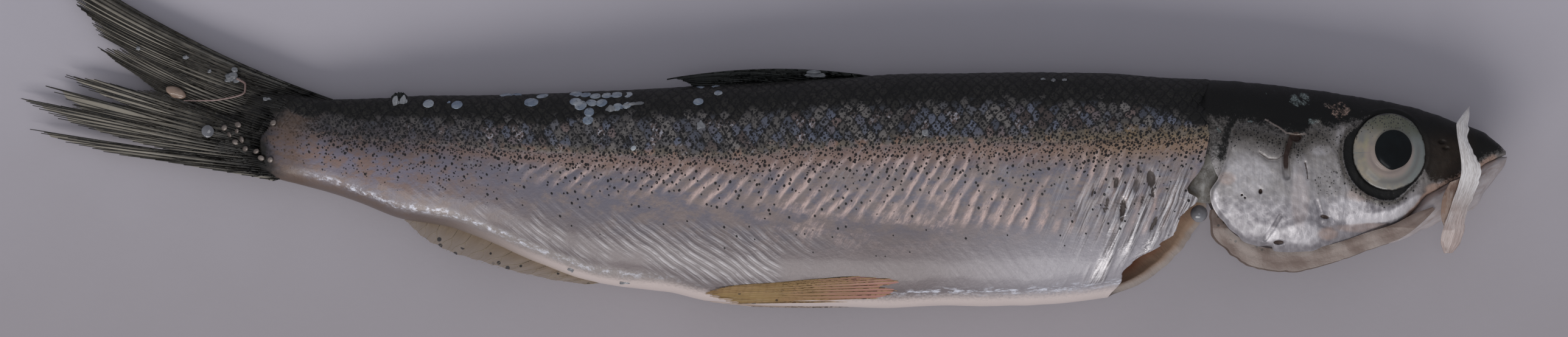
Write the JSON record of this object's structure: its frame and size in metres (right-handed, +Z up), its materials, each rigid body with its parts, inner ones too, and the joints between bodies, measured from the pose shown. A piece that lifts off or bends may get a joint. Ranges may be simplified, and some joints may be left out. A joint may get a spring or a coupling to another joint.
{
  "type": "whole small whitefish",
  "caption": "Whole slim silver fish lying on its left flank, with fins, forked tail, eyes, gill covers and jaws, its throat torn open where the gills were pulled out.",
  "frame": {"origin": "on the surface that the fish lies on, under the middle of its bounding box", "axes": "+X from the tail to the snout, +Y from the belly to the back, +Z up through the resting left flank"},
  "size_m": [0.1808, 0.0434, 0.0152],
  "materials": {
    "skin": "wet silver scales over pinkish flanks, blue-black on the back",
    "gill_cover": "silvery bone under thin wet skin",
    "membrane": "thin translucent brown skin",
    "jaw": "grey-pink translucent skin over bone",
    "jaw_blade": "pale dry bone",
    "dark_fin": "blackish rays with thin translucent skin",
    "pale_fin": "golden brown rays with thin translucent skin",
    "eye": "wet clear cornea over a cream iris and a black pupil"
  },
  "bodies": {
    "root": {"body": "skin", "eye_right": "eye", "eye_left": "eye", "gill_cover_right": "gill_cover", "gill_cover_left": "gill_cover", "gill_membrane_right": "membrane", "gill_membrane_left": "membrane", "lower_jaw": "jaw", "upper_jaw_blade_right": "jaw_blade", "upper_jaw_blade_left": "jaw_blade", "dorsal_fin": "dark_fin", "adipose_fin": "dark_fin", "anal_fin": "pale_fin", "pelvic_fin_right": "pale_fin", "pelvic_fin_left": "pale_fin", "tail_fin": "dark_fin"}
  },
  "joints": []
}
